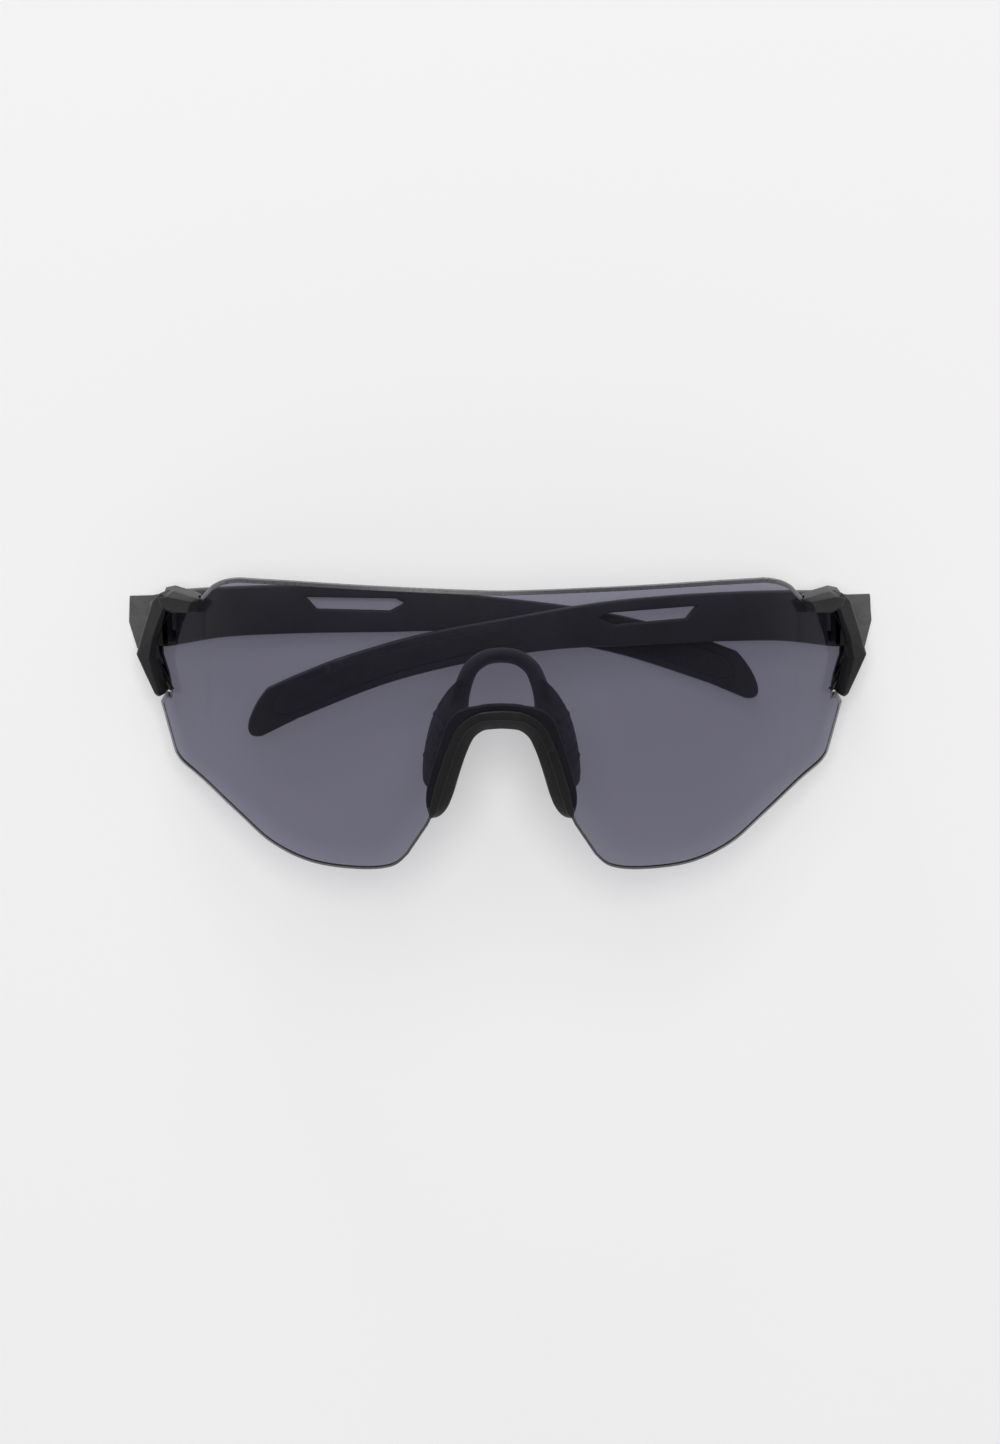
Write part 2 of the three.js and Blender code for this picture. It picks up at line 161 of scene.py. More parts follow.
def symmetric(half):
    """Closes a half outline at x >= 0, from the top of the middle line to its foot."""
    right = [p for p in half if p[0] > 1e-3]
    middle = [p for p in half if p[0] <= 1e-3]
    left = [(-p[0], p[1]) for p in right]
    return tidy_loop([middle[0], *left, middle[-1], *reversed(right)], OUTLINE_STEP)


def inset(loop, distance):
    """Moves a counter-clockwise outline inwards, or a clockwise hole's outline outwards."""
    if distance == 0:
        return loop
    result = []
    for i, point in enumerate(loop):
        before = point - loop[i - 1]
        after = loop[(i + 1) % len(loop)] - point
        before = before / np.linalg.norm(before)
        after = after / np.linalg.norm(after)
        n0 = np.array((-before[1], before[0]))
        n1 = np.array((-after[1], after[0]))
        result.append(point + (n0 + n1) * distance / max(1 + n0 @ n1, 0.3))
    return result


def smooth(low, high, value):
    t = min(max((value - low) / (high - low), 0), 1)
    return t * t * (3 - 2 * t)


def lerp(start, end, t):
    return start + (end - start) * t


NOSE_EDGE = spline([
    (0, 1.3), (4.2, 0.8), (7.2, -1.3), (8.9, -4.4), (10.6, -9.2), (12.1, -14.4), (13.1, -18.6),
], 6)


# The lens's edge down its side. An end piece covers most of it.
LENS_FLANK = [
    (57.2, 21.85), (59.3, 19.3), (61.2, 18.2), (65.6, 17), (68.5, 11.6), (69.8, 6.4), (66, 0.2),
    (66, -1.25), (67.05, -1.25), (68.1, -3.2), (65.3, -12.5),
]


def lens_outline():
    half = [
        *spline([(0, 24.9), (19.2, 25.2), (38.7, 25.05), (51, 24.4)]),
        *curve((51, 24.4), (54.8, 23.9), (57.2, 21.85)),
        *LENS_FLANK,
        *curve((65.3, -12.5), (64.7, -14.1), (62.9, -15.1)),
        *spline([(62.9, -15.1), (58.8, -17.6), (51.6, -23.1), (45.2, -27.9), (37.2, -30.8),
                 (27.6, -31.2), (21.3, -30.1), (18.2, -27.4)]),
        (14.2, -21),
        *reversed(NOSE_EDGE),
    ]
    return symmetric(half)


def temple_outline():
    """The temple seen from the wearer's side: x from the hinge axis to the tip, y up."""
    outline = [
        (-7.0, 4.9), (-7.4, -0.4), (-5.9, -5.8), (0.7, -5.4), (7.7, -4.3),
        *spline([(7.7, -4.3), (14, -3.7), (28, -3.5), (44, -3.75), (58, -4.0), (74.3, -5.9),
                 (91.7, -9.6), (109.6, -15.9)]),
        (116.9, -19.2),
        *curve((116.9, -19.2), (120.4, -19.7), (119.3, -16)),
        *curve((119.3, -16), (118, -12.4), (115.4, -9.7)),
        *spline([(115.4, -9.7), (109, -7.1), (99.4, -3.8), (84, 0), (64, 3.0), (48, 5.1), (34, 6.0),
                 (22, 6.3), (10, 6.2)]),
        (4.6, 6.0), (-2.5, 4.9),
    ]
    return tidy_loop(outline, OUTLINE_STEP)


def temple_slot():
    """The slanted window in the temple, clockwise."""
    corners = [(28.6, 3.8), (46.8, 3.0), (48.6, 2.0), (45.5, 0.5), (30.8, 1.3)]
    return tidy_loop(corners, OUTLINE_STEP)


def grip_outline(margin):
    return tidy_loop([
        (64 + margin, -2.3),
        *spline([(74.3, -4.0 + margin), (91.7, -7.9 + margin), (111.6, -15.1 + margin)]),
        (114.6 - margin, -14.6 + margin),
        *curve((114.6 - margin, -14.6 + margin), (115.1 - margin, -12.5),
               (112.6 - margin, -10.3 - margin)),
        *spline([(112.6 - margin, -10.3 - margin), (99.4, -5.6 - margin), (84, -1.8 - margin),
                 (68 + margin, 0.6 - margin)]),
    ], 1.0)


# ---- places --------------------------------------------------------------------------------

def lens_z(x, y):
    across = LENS_RADIUS_ACROSS - math.sqrt(LENS_RADIUS_ACROSS**2 - x * x)
    down = LENS_RADIUS_DOWN - math.sqrt(LENS_RADIUS_DOWN**2 - y * y)
    return -(across + down)


def lens_slopes(x, y):
    return x / math.sqrt(LENS_RADIUS_ACROSS**2 - x * x), y / math.sqrt(LENS_RADIUS_DOWN**2 - y * y)


def on_lens(x, y, height):
    """A point above the lens's outer face, in the front's frame."""
    normal = Vector((*lens_slopes(x, y), 1)).normalized()
    return Vector((x, y, lens_z(x, y))) + normal * height


def straight_through_lens(x, y, height):
    """As on_lens, but moved straight back, so a cut edge stands square to the front."""
    slope_x, slope_y = lens_slopes(x, y)
    stretch = math.sqrt(1 + slope_x**2 + slope_y**2)
    return FRONT @ Vector((x, y, lens_z(x, y) + height * stretch))


def hinge_matrix(side, lean=0):
    """The hinge's frame. Its x runs along the folded temple, away from the hinge."""
    origin = ROW_ORIGIN + Vector((side * HINGE_X, HINGE_Y, HINGE_Z)) * MM
    mirror = Matrix.Diagonal((-side, 1, 1, 1))
    return (
        Matrix.Translation(origin) @ Matrix.Rotation(HINGE_SKEW, 4, "Z")
        @ Matrix.Rotation(lean, 4, "Y") @ Matrix.Scale(MM, 4) @ mirror
    )


def placed_by(matrix):
    """A function that takes x, y and z to their place in the row frame."""
    return lambda x, y, z: matrix @ Vector((x, y, z))


def temple_bow(along):
    return TEMPLE_BOW * (max(along, 0) / TEMPLE_LENGTH) ** 2


def temple_z(along, share):
    """Height of a point of the temple: share is 0 on its outer face and 1 on its inner one."""
    outer = lerp(TEMPLE_OUTER_FRONT, TEMPLE_OUTER_REAR, smooth(TAPER_START, TAPER_END, along))
    return temple_bow(along) - lerp(outer, TEMPLE_INNER, share)


# ---- mesh tools ----------------------------------------------------------------------------

def sides_of(loops):
    """The start and end of each side of the loops."""
    for loop in loops:
        yield from zip(loop, [*loop[1:], loop[0]])


def inside(loops, places):
    """Which of the places are inside the outer loop and outside its holes."""
    x, y = np.array(places, float).reshape(-1, 2).T
    result = np.zeros(len(x), bool)
    for (x0, y0), (x1, y1) in sides_of(loops):
        if y0 != y1:
            crossing = x0 + (y - y0) * (x1 - x0) / (y1 - y0)
            result ^= ((y0 > y) != (y1 > y)) & (x < crossing)
    return result


def grid_points(loops, spacing):
    """Points of an even triangular net inside the loops, clear of their edges."""
    low, high = np.min(loops[0], 0), np.max(loops[0], 0)
    rows = np.arange(low[1], high[1], spacing * math.sqrt(3) / 2)
    net = np.array([
        (x, y) for row, y in enumerate(rows)
        for x in np.arange(low[0] + spacing / 2 * (row % 2), high[0], spacing)
    ])
    nearest = np.full(len(net), np.inf)
    for start, end in sides_of(loops):
        span = end - start
        t = np.clip((net - start) @ span / (span @ span), 0, 1)
        nearest = np.minimum(nearest, np.linalg.norm(net - start - t[:, None] * span, axis=1))
    return [tuple(p) for p in net[inside(loops, net) & (nearest > spacing * 0.55)]]


def triangles(loops, spacing):
    """The net's extra points, and triangles over the loops' points followed by those."""
    rim = [tuple(p) for loop in loops for p in loop]
    edges = []
    start = 0
    for loop in loops:
        count = len(loop)
        edges += [(start + i, start + (i + 1) % count) for i in range(count)]
        start += count
    extra = grid_points(loops, spacing) if spacing else []
    flat = [Vector(p) for p in rim + extra]
    made, _, faces, origin, _, _ = delaunay_2d_cdt(flat, edges, [], 1, 1e-7)
    names = [o[0] if o else 0 for o in origin]
    centres = [sum((made[i] for i in face), Vector((0, 0))) / 3 for face in faces]
    kept = inside(loops, [tuple(centre) for centre in centres])
    return extra, [[names[i] for i in face] for face, keep in zip(faces, kept) if keep]


def plate(loops, rings, place, spacing=None, wall=0):
    """A solid between two caps. rings are (inset, height) from the lower cap to the upper one;
    place turns x, y and height into a point. wall is the material of everything but the caps."""
    bm = bmesh.new()
    layers = []
    for distance, height in rings:
        flats = [inset(loop, distance) for loop in loops]
        layers.append([[bm.verts.new(place(x, y, height)) for x, y in flat] for flat in flats])
    for low, high in zip(layers, layers[1:]):
        for a, b in zip(low, high):
            for i in range(len(a)):
                face = bm.faces.new((a[i - 1], a[i], b[i], b[i - 1]))
                face.material_index = wall
    for (distance, height), layer, up in ((rings[0], layers[0], False), (rings[-1], layers[-1], True)):
        flats = [inset(loop, distance) for loop in loops]
        extra, faces = triangles(flats, spacing)
        verts = [v for loop in layer for v in loop]
        verts += [bm.verts.new(place(x, y, height)) for x, y in extra]
        for a, b, c in faces:
            bm.faces.new((verts[a], verts[b], verts[c]) if up else (verts[c], verts[b], verts[a]))
    bmesh.ops.recalc_face_normals(bm, faces=bm.faces)
    return bm


def rounded(low, high, radius, height=None, steps=4):
    """Rings of a plate whose edges are rounded, height being the radius in units of height."""
    height = radius if height is None else height
    angles = [math.pi / 2 * i / steps for i in range(steps + 1)]
    lower = [(radius * (1 - math.sin(a)), low + height * (1 - math.cos(a))) for a in angles]
    upper = [(inset_by, low + high - level) for inset_by, level in reversed(lower)]
    return lower + upper


def loft(sections, place, second_material=()):
    """A solid through rings of equally many points. The sides of a ring that end at one of the
    points in second_material take that material."""
    bm = bmesh.new()
    rings = [[bm.verts.new(place(*p)) for p in section] for section in sections]
    for a, b in zip(rings, rings[1:]):
        for i in range(len(a)):
            face = bm.faces.new((a[i - 1], a[i], b[i], b[i - 1]))
            face.material_index = int(i in second_material)
    bm.faces.new(rings[0])
    bm.faces.new(rings[-1][::-1])
    bmesh.ops.triangulate(bm, faces=[f for f in bm.faces if len(f.verts) > 4])
    bmesh.ops.recalc_face_normals(bm, faces=bm.faces)
    return bm


def turned(profile, place, segments=48, ripple=None):
    """A solid of revolution about Y; the profile is (radius, y), starting and ending on the axis."""
    bm = bmesh.new()
    rings = []
    for radius, y in profile:
        if radius == 0:
            rings.append([bm.verts.new(place(0, y, 0))])
            continue
        ring = []
        for i in range(segments):
            angle = 2 * math.pi * i / segments
            r = radius + (ripple(radius, angle) if ripple else 0)
            ring.append(bm.verts.new(place(r * math.cos(angle), y, r * math.sin(angle))))
        rings.append(ring)
    for a, b in zip(rings, rings[1:]):
        for i in range(segments):
            j = (i + 1) % segments
            corners = [a[i % len(a)], a[j % len(a)], b[j % len(b)], b[i % len(b)]]
            unique = list(dict.fromkeys(corners))
            if len(unique) > 2:
                bm.faces.new(unique)
    bmesh.ops.recalc_face_normals(bm, faces=bm.faces)
    return bm


def block(low, high, place):
    bm = bmesh.new()
    corners = [bm.verts.new(place(x, y, z)) for x in (low[0], high[0])
               for y in (low[1], high[1]) for z in (low[2], high[2])]
    for face in ((0, 1, 3, 2), (4, 6, 7, 5), (0, 4, 5, 1), (2, 3, 7, 6), (0, 2, 6, 4), (1, 5, 7, 3)):
        bm.faces.new([corners[i] for i in face])
    bmesh.ops.recalc_face_normals(bm, faces=bm.faces)
    return bm


def rod(radius, low, high, place):
    return turned([(0, low), (radius, low), (radius, high), (0, high)], place, ROD_SIDES)


def gather(solids):
    """One bmesh that holds several."""
    whole = bmesh.new()
    for solid in solids:
        mesh = bpy.data.meshes.new("part")
        solid.to_mesh(mesh)
        solid.free()
        whole.from_mesh(mesh)
        bpy.data.meshes.remove(mesh)
    return whole


def new_object(name, bm, materials=()):
    mesh = bpy.data.meshes.new(name)
    bm.to_mesh(mesh)
    bm.free()
    for material in materials:
        mesh.materials.append(material)
    obj = bpy.data.objects.new(name, mesh)
    bpy.context.scene.collection.objects.link(obj)
    return obj


def settle(obj):
    """Replaces the object's mesh by what its modifiers make of it."""
    bpy.context.view_layer.update()
    graph = bpy.context.evaluated_depsgraph_get()
    made = bpy.data.meshes.new_from_object(obj.evaluated_get(graph))
    old = obj.data
    obj.modifiers.clear()
    obj.data = made
    made.name = obj.name
    bpy.data.meshes.remove(old)


def carve(obj, solids, operation="DIFFERENCE"):
    tool = new_object("tool", gather(solids))
    modifier = obj.modifiers.new("carve", "BOOLEAN")
    modifier.operation = operation
    modifier.solver = "EXACT"
    modifier.use_self = True
    modifier.object = tool
    settle(obj)
    bpy.data.objects.remove(tool)


def keep_largest(obj):
    """Drops slivers that a cut has left beside the piece."""
    bm = bmesh.new()
    bm.from_mesh(obj.data)
    unseen = set(bm.verts)
    islands = []
    while unseen:
        island = [unseen.pop()]
        for vert in island:
            near = {edge.other_vert(vert) for edge in vert.link_edges} & unseen
            unseen -= near
            island += near
        islands.append(island)
    islands.sort(key=len)
    for island in islands[:-1]:
        bmesh.ops.delete(bm, geom=island, context="VERTS")
    bm.to_mesh(obj.data)
    bm.free()


def melt(obj, voxel, smoothing):
    """Fuses overlapping solids into one skin with softened edges."""
    remesh = obj.modifiers.new("melt", "REMESH")
    remesh.mode = "VOXEL"
    remesh.voxel_size = voxel * MM
    if smoothing:
        soften = obj.modifiers.new("soften", "SMOOTH")
        soften.factor = 0.5
        soften.iterations = smoothing
    settle(obj)
    keep_largest(obj)


def paint(obj, material):
    """One material for a whole mesh, in place of those that a cut has brought along."""
    obj.data.materials.clear()
    obj.data.materials.append(material)


def finish_piece(obj, body, replaced, sharp=35):
    """Smooth shading broken at sharp edges, and the piece's place in the frame."""
    mesh = obj.data
    mesh.polygons.foreach_set("use_smooth", [True] * len(mesh.polygons))
    mesh.set_sharp_from_angle(angle=math.radians(sharp))
    normals = obj.modifiers.new("even shading", "WEIGHTED_NORMAL")
    normals.keep_sharp = True
    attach(obj, body)
    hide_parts(replaced)


# ---- materials -----------------------------------------------------------------------------

class Nodes:
    """A short way to write a node tree."""

    def __init__(self, name):
        self.material = bpy.data.materials.new(name)
        self.material.use_nodes = True
        self.tree = self.material.node_tree
        self.tree.nodes.clear()
        self.output = self.add("ShaderNodeOutputMaterial")

    def add(self, kind, **settings):
        node = self.tree.nodes.new(kind)
        for key, value in settings.items():
            if key in node.inputs:
                node.inputs[key].default_value = value
            else:
                setattr(node, key, value)
        return node

    def link(self, source, target):
        self.tree.links.new(source, target)

    def coordinates(self, scale):
        place = self.add("ShaderNodeTexCoord")
        mapping = self.add("ShaderNodeMapping")
        mapping.inputs["Scale"].default_value = scale if hasattr(scale, "__len__") else [scale] * 3
        self.link(place.outputs["Object"], mapping.inputs["Vector"])
        return mapping.outputs["Vector"]

    def noise(self, scale, detail=3, roughness=0.5):
        noise = self.add("ShaderNodeTexNoise", Scale=1.0, Detail=detail, Roughness=roughness)
        self.link(self.coordinates(scale), noise.inputs["Vector"])
        return noise.outputs["Fac"]

    def spread(self, source, low, high, from_low=0.3, from_high=0.7):
        """Turns a factor into numbers between low and high."""
        spread = self.add("ShaderNodeMapRange")
        for key, value in (("From Min", from_low), ("From Max", from_high),
                           ("To Min", low), ("To Max", high)):
            spread.inputs[key].default_value = value
        self.link(source, spread.inputs["Value"])
        return spread.outputs["Result"]

    def blend(self, factor, first, second):
        mix = self.add("ShaderNodeMix", data_type="RGBA")
        for socket, value in ((mix.inputs[6], first), (mix.inputs[7], second)):
            if hasattr(value, "is_linked"):
                self.link(value, socket)
            else:
                socket.default_value = (*value, 1)
        self.link(factor, mix.inputs[0])
        return mix.outputs[2]

    def bump(self, height, strength, distance, before=None):
        bump = self.add("ShaderNodeBump", Strength=strength, Distance=distance * MM)
        self.link(height, bump.inputs["Height"])
        if before:
            self.link(before, bump.inputs["Normal"])
        return bump.outputs["Normal"]


def moulded(name, dark, light, roughness, grain, specular=0.4):
    """Fine matt moulded nylon: even grain, faint flow marks, and lighter worn edges."""
    n = Nodes(name)
    shader = n.add("ShaderNodeBsdfPrincipled")
    shader.inputs["Specular IOR Level"].default_value = specular
    fine = n.noise(2600, 2, 0.6)
    broad = n.noise(90, 4, 0.55)
    colour = n.blend(n.spread(broad, 0, 1), dark, light)
    worn = n.add("ShaderNodeNewGeometry")
    edge = n.spread(worn.outputs["Pointiness"], 0, 0.35, 0.52, 0.62)
    scratches = n.noise((300, 900, 300), 5, 0.7)
    wear = n.add("ShaderNodeMath", operation="MULTIPLY")
    n.link(edge, wear.inputs[0])
    n.link(n.spread(scratches, 0.2, 1), wear.inputs[1])
    colour = n.blend(wear.outputs[0], colour, tuple(3.2 * c for c in light))
    n.link(colour, shader.inputs["Base Color"])
    rough = n.add("ShaderNodeMath", operation="ADD")
    n.link(n.spread(fine, -0.05, 0.06), rough.inputs[0])
    n.link(n.spread(broad, roughness - 0.05, roughness + 0.06), rough.inputs[1])
    n.link(rough.outputs[0], shader.inputs["Roughness"])
    n.link(n.bump(fine, 0.35, grain), shader.inputs["Normal"])
    n.link(shader.outputs[0], n.output.inputs["Surface"])
    return n.material


def rubber(name, dark, light, roughness):
    """Soft touch rubber: powdery, with faint cloudy marks from handling."""
    n = Nodes(name)
    shader = n.add("ShaderNodeBsdfPrincipled")
    shader.inputs["Specular IOR Level"].default_value = 0.35
    shader.inputs["Sheen Weight"].default_value = 0.12
    shader.inputs["Sheen Roughness"].default_value = 0.5
    cloud = n.noise(160, 5, 0.6)
    powder = n.noise(3200, 2, 0.7)
    n.link(n.blend(n.spread(cloud, 0, 1), dark, light), shader.inputs["Base Color"])
    n.link(n.spread(cloud, roughness - 0.07, roughness + 0.07), shader.inputs["Roughness"])
    n.link(n.bump(powder, 0.4, 0.03), shader.inputs["Normal"])
    n.link(shader.outputs[0], n.output.inputs["Surface"])
    return n.material


def turned_metal(name, dark, light, roughness):
    """Metal with the rings of a lathe round its axis, and specks in the grooves."""
    n = Nodes(name)
    shader = n.add("ShaderNodeBsdfPrincipled", Metallic=1.0)
    rings = n.noise((600, 9000, 600), 3, 0.6)
    specks = n.noise(1500, 3, 0.6)
    n.link(n.blend(n.spread(specks, 0, 1), dark, light), shader.inputs["Base Color"])
    n.link(n.spread(rings, roughness - 0.1, roughness + 0.12), shader.inputs["Roughness"])
    n.link(n.bump(rings, 0.3, 0.02), shader.inputs["Normal"])
    n.link(shader.outputs[0], n.output.inputs["Surface"])
    return n.material


def smoke_lens():
    """Tinted polycarbonate: coloured see-through under a clear gloss with faint wipe marks."""
    n = Nodes("smoke_polycarbonate")
    tint = n.noise(22, 2, 0.5)
    see = n.add("ShaderNodeBsdfTransparent")
    n.link(n.blend(n.spread(tint, 0, 1), LENS_TINT, tuple(c * 0.985 for c in LENS_TINT)),
           see.inputs["Color"])
    gloss = n.add("ShaderNodeBsdfGlossy")
    gloss.inputs["Color"].default_value = (0.45, 0.45, 0.48, 1)
    wipes = n.noise((60, 260, 60), 6, 0.65)
    n.link(n.spread(wipes, 0.05, 0.1), gloss.inputs["Roughness"])
    facing = n.add("ShaderNodeLayerWeight", Blend=0.5)
    grazing = n.add("ShaderNodeMath", operation="POWER")
    grazing.inputs[1].default_value = 5
    n.link(facing.outputs["Facing"], grazing.inputs[0])
    outside = n.add("ShaderNodeNewGeometry")
    share = n.spread(grazing.outputs[0], 0.04, 1, 0, 1)
    front_only = n.add("ShaderNodeMath", operation="SUBTRACT", use_clamp=True)
    n.link(share, front_only.inputs[0])
    n.link(outside.outputs["Backfacing"], front_only.inputs[1])
    mix = n.add("ShaderNodeMixShader")
    n.link(front_only.outputs[0], mix.inputs[0])
    n.link(see.outputs[0], mix.inputs[1])
    n.link(gloss.outputs[0], mix.inputs[2])
    n.link(mix.outputs[0], n.output.inputs["Surface"])
    return n.material


def cut_edge():
    """The lens's milled edge, where the tint is seen through its whole width."""
    n = Nodes("lens_cut_edge")
    shader = n.add("ShaderNodeBsdfPrincipled")
    shader.inputs["Specular IOR Level"].default_value = 0.5
    marks = n.noise((1800, 1800, 200), 4, 0.6)
    n.link(n.blend(n.spread(marks, 0, 1), (0.034, 0.033, 0.036), (0.044, 0.043, 0.047)),
           shader.inputs["Base Color"])
    n.link(n.spread(marks, 0.22, 0.42), shader.inputs["Roughness"])
    n.link(n.bump(marks, 0.08, 0.01), shader.inputs["Normal"])
    n.link(shader.outputs[0], n.output.inputs["Surface"])
    return n.material


LENS_TINT = (0.553, 0.547, 0.607)
LENS = smoke_lens()
LENS_EDGE = cut_edge()
NYLON = moulded("matt_nylon", (0.008, 0.008, 0.008), (0.012, 0.012, 0.012), 0.45, 0.03, 0.35)
# The temples are the same black nylon as the front, painted about ten times lighter: painted light
# that stands in for what the tinted shield takes from them.
TEMPLE_NYLON_PAINTED_LIGHT = moulded("temple_nylon_painted_light", (0.08, 0.078, 0.08), (0.105, 0.102, 0.105), 0.5, 0.03)
GRIP_RUBBER = rubber("grip_rubber", (0.075, 0.075, 0.077), (0.098, 0.098, 0.1), 0.72)
NOSE_RUBBER = rubber("nose_rubber", (0.11, 0.109, 0.112), (0.145, 0.143, 0.147), 0.65)
STEEL = turned_metal("turned_steel", (0.38, 0.38, 0.39), (0.52, 0.52, 0.53), 0.3)
BRASS = turned_metal("turned_brass", (0.5, 0.37, 0.16), (0.62, 0.48, 0.24), 0.32)


# ---- the front -----------------------------------------------------------------------------

def shield_lens():
    rings = [(0.25, -LENS_THICKNESS), (0, -LENS_THICKNESS + 0.25), (0, -0.55), (0.5, -0.05), (0.6, 0)]
    bm = plate([lens_outline()], rings, straight_through_lens, 2.4, 1)
    finish_piece(new_object("shield", bm, [LENS, LENS_EDGE]), "front", "shield_lens")


def lens_room(side):
    """The room round the lens's edge, which an end piece leaves free."""
    inner = 48
    loop = tidy_loop([(-x, y) for x, y in [(inner, 24.6), (51, 24.4), *LENS_FLANK, (inner, -12.5)]], 2)

    def place(x, y, height):
        return straight_through_lens(-side * x, y, height)

    return plate([inset(loop, -GAP)], [(0, -LENS_THICKNESS - GAP), (0, GAP)], place, 3)


# Stations down the upright band of the right end piece, in the front's frame: where its inner
# wall meets the lens, and the inner and the outer edge of its front facet.
BAND = [
    ((-64.6, 17.8), (-65.3, 18.4, -26.6), (-67.4, 19.9, -28.8)),
    ((-65.7, 15.9), (-66.3, 16.4, -27.5), (-69.2, 18.1, -30.3)),
    ((-67.4, 9.4), (-68.5, 10.9, -29.7), (-71.2, 12.0, -32.3)),
    ((-67.2, 5.6), (-69.4, 6.0, -30.8), (-72.8, 6.6, -33.6)),
    ((-65.9, 2.0), (-68.7, 2.5, -29.9), (-70.9, 2.9, -31.8)),
    ((-65.5, -0.3), (-67.9, -0.5, -29.0), (-69.0, -0.6, -29.9)),
    ((-66.1, -1.0), (-67.8, -1.1, -29.6), (-68.4, -1.2, -30.1)),
]

# Stations along its arm: the foot of the lower chamfer, the lower and the upper edge of the
# front facet, and the far edge of the top facet.
ARM = [
    ((-66.9, 16.6, -28.9), (-67.2, 17.2, -28.4), (-67.9, 18.8, -28.6), (-66.9, 19.3, -30.6)),
    ((-65.2, 16.1, -27.6), (-65.2, 16.9, -26.7), (-66.4, 19.4, -27.2), (-64.8, 20.2, -29.3)),
    ((-61.6, 16.8, -24.0), (-61.7, 17.5, -23.4), (-60.8, 19.2, -22.6), (-60.1, 19.8, -24.0)),
    ((-60.2, 16.9, -25.0), (-60.0, 17.4, -24.4), (-59.4, 19.0, -23.6), (-59.1, 19.5, -24.2)),
]
JAW_DEPTH = 6.2          # from the lens's outer face back through the rear jaw
HINGE_SIDE = -69.7       # the end piece's outer side, where it passes the temple's elbow


def below_lens(x, y, depth):
    return Vector((x, y, lens_z(x, y) - depth))


def band_sections():
    for foot, inner, outer in BAND:
        inner, outer = Vector(inner), Vector(outer)
        foot_point = below_lens(foot[0] - 0.9, foot[1], 0)
        yield [
            below_lens(foot[0] - 0.5, foot[1], JAW_DEPTH),
            foot_point,
            inner.lerp(foot_point, 0.3),
            inner.lerp(outer, 0.2),
            inner.lerp(outer, 0.93),
            outer + Vector((0, 0, -0.4)),
            outer + Vector((0.9, 0, -3)),
            Vector((max(outer.x + 2.2, HINGE_SIDE), outer.y, outer.z - 5)),
            Vector((max(outer.x + 3, HINGE_SIDE), outer.y, outer.z - 8)),
        ]


def arm_sections():
    for foot, lower, upper, far in ARM:
        yield [
            below_lens(foot[0], foot[1], JAW_DEPTH),
            Vector(foot),
            Vector(lower),
            Vector(upper),
            Vector(far),
            below_lens(far[0] - 0.3, far[1] - 0.3, JAW_DEPTH),
        ]


def lug_profile():
    arc = [(LUG_RADIUS * math.cos(a), LUG_RADIUS * math.sin(a))
           for a in np.linspace(1.2 * math.pi, 2 * math.pi, 20)]
    return [(-LUG_OUTER, 8), (-LUG_OUTER, -0.4), *arc, (1.6, 6), (0.8, 12), (-1.4, 12.5)]


def end_piece(side):
    word = SIDES[side]
    in_hinge = placed_by(hinge_matrix(side))
    in_front = placed_by(FRONT @ Matrix.Diagonal((-side, 1, 1, 1)))
    half = LUG_HALF_HEIGHT
    lug = plate([tidy_loop(lug_profile(), 5)], rounded(-half, half, 0.35, steps=2),
                lambda x, y, z: in_hinge(x, -z, y))
    solids = [loft(list(band_sections()), in_front), loft(list(arm_sections()), in_front), lug]
    obj = new_object("bracket_" + word, gather(solids), [NYLON])
    room = KNUCKLE_HALF_HEIGHT + GAP
    beyond = half + 1
    carve(obj, [
        lens_room(side),
        rod(SWEEP_RADIUS, -room, room, in_hinge),
        rod(PIN_RADIUS + GAP / 2, -beyond, beyond, in_hinge),
        rod(HEAD_RADIUS + GAP / 2, half - HEAD_HEIGHT - GAP / 2, beyond, in_hinge),
        rod(HEAD_RADIUS + GAP / 2, -beyond, -half + NUT_HEIGHT + GAP / 2, in_hinge),
    ])
    melt(obj, BRACKET_VOXEL, 2)
    paint(obj, NYLON)
    finish_piece(obj, "front", "end_piece_" + word, 50)


NOSE_TOP_RING = 1.0      # how far the lip reaches over the lens
NOSE_RIDGE = -0.8        # the step between the rim's outer and inner band
NOSE_OPENING = -2.7
NOSE_FRONT = 1.3
NOSE_REAR = -4.2
LEG_TIP = 1.2            # the legs end this far past the last point of the nose edge


def along(knots, t):
    """A value read off a list of (place, value) at t."""
    places = [k[0] for k in knots]
    return float(np.interp(t, places, [k[1] for k in knots]))


def nose_section(t):
    """The bridge's section: (distance into the lens from its cut-out, height above the lens)."""
    flange = along([(0, 1.75), (0.16, 1.85), (0.27, 3.1), (0.34, 3.3), (0.45, 3.0), (1, 2.8)], t)
    behind = -LENS_THICKNESS - GAP
    return [
        (-GAP, GAP), (NOSE_TOP_RING - 0.1, GAP), (NOSE_TOP_RING, GAP + 0.1),
        (NOSE_TOP_RING, NOSE_FRONT - 0.35), (NOSE_TOP_RING - 0.15, NOSE_FRONT - 0.15),
        (NOSE_RIDGE + 0.5, NOSE_FRONT + 0.1), (NOSE_RIDGE + 0.2, NOSE_FRONT + 0.12),
        (NOSE_RIDGE + 0.04, NOSE_FRONT), (NOSE_RIDGE - 0.04, NOSE_FRONT - 0.22),
        (NOSE_RIDGE - 0.2, NOSE_FRONT - 0.3), (NOSE_OPENING + 0.35, NOSE_FRONT - 1.15),
        (NOSE_OPENING + 0.07, NOSE_FRONT - 1.4), (NOSE_OPENING, NOSE_FRONT - 1.8),
        (NOSE_OPENING, NOSE_REAR + 0.5),
        (NOSE_OPENING + 0.4, NOSE_REAR), (flange - 0.5, NOSE_REAR + 0.1),
        (flange - 0.05, NOSE_REAR + 0.45), (flange, behind - 0.5), (flange - 0.3, behind),
        (-GAP, behind),
    ]


